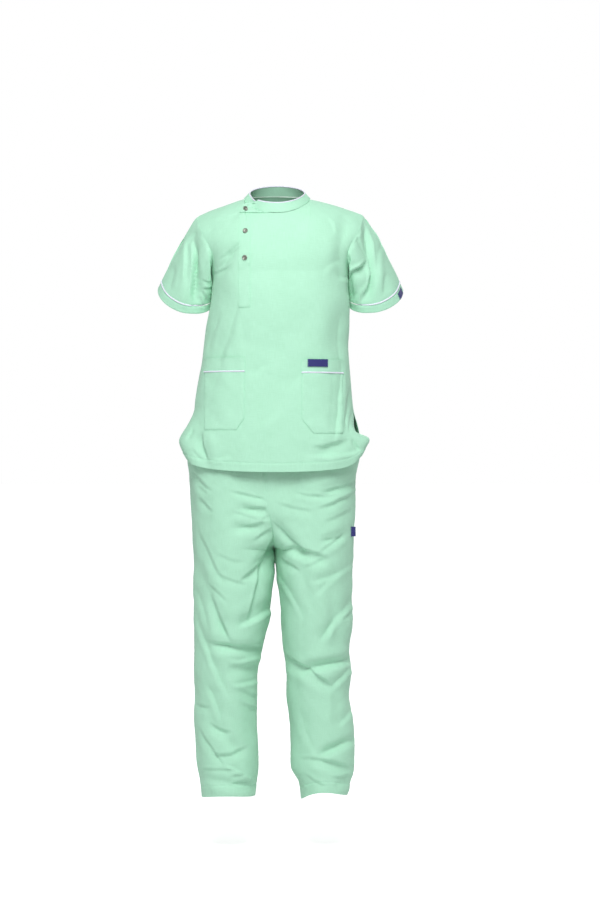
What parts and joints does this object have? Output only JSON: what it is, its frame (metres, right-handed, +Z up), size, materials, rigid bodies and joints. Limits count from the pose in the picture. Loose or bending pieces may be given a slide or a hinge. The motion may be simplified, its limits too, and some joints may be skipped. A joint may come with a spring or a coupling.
{
  "type": "scrub suit",
  "caption": "Mint green scrub suit, worn and hollow: snap-front tunic with stand collar, white piping and patch pockets, and straight trousers",
  "frame": {"origin": "base of the neck, level with the points where the shoulder seams meet the collar, on the wearer's middle line", "axes": "+Z up along the wearer, -Y is the way that the wearer faces, +X to the wearer's left"},
  "size_m": [0.5529, 0.2806, 1.376],
  "materials": {
    "cloth": "mint green poly-cotton poplin, plain weave, matt",
    "piping": "white cotton piping",
    "snap": "nickel-plated brass ring snap",
    "label": "navy satin-woven label, plain"
  },
  "bodies": {
    "root": {"tunic_front": "cloth", "tunic_back": "cloth", "sleeve_right": "cloth", "sleeve_left": "cloth", "cuff_right": "cloth", "cuff_left": "cloth", "piping_cuff_right": "piping", "piping_cuff_left": "piping", "collar": "cloth", "piping_collar": "piping", "placket": "cloth", "snap_1": "snap", "snap_2": "snap", "snap_3": "snap", "pocket_right": "cloth", "pocket_left": "cloth", "pocket_band_right": "cloth", "pocket_band_left": "cloth", "piping_pocket_right": "piping", "piping_pocket_left": "piping", "label_pocket": "label", "label_sleeve": "label", "label_leg": "label", "leg_front_right": "cloth", "leg_front_left": "cloth", "leg_back_right": "cloth", "leg_back_left": "cloth", "waistband": "cloth"}
  },
  "joints": []
}
